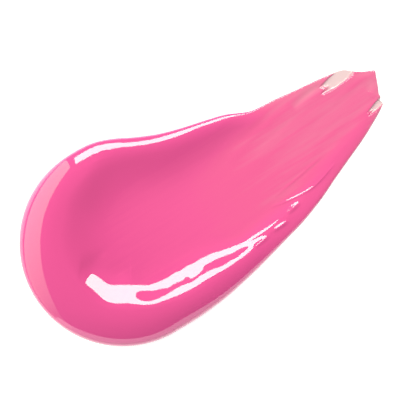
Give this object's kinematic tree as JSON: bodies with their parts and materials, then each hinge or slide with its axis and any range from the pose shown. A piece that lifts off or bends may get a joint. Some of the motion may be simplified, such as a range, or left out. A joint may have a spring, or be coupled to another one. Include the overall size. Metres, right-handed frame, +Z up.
{
  "type": "lip gloss smear",
  "caption": "Smear of lip gloss: a thick round head with a raised rim and a shallow trough, drawn out along +X into a thin ragged tail. Flat underneath.",
  "frame": {"origin": "middle of the bounding box, on the surface that the smear lies on", "axes": "+X along the stroke from the round head to the tail, +Z up out of the surface, +Y completes the right-handed frame"},
  "size_m": [0.045, 0.0228, 0.0021],
  "materials": {
    "gloss": "wet, glossy and slightly see-through"
  },
  "bodies": {
    "root": {"gloss_smear": "gloss"}
  },
  "joints": []
}
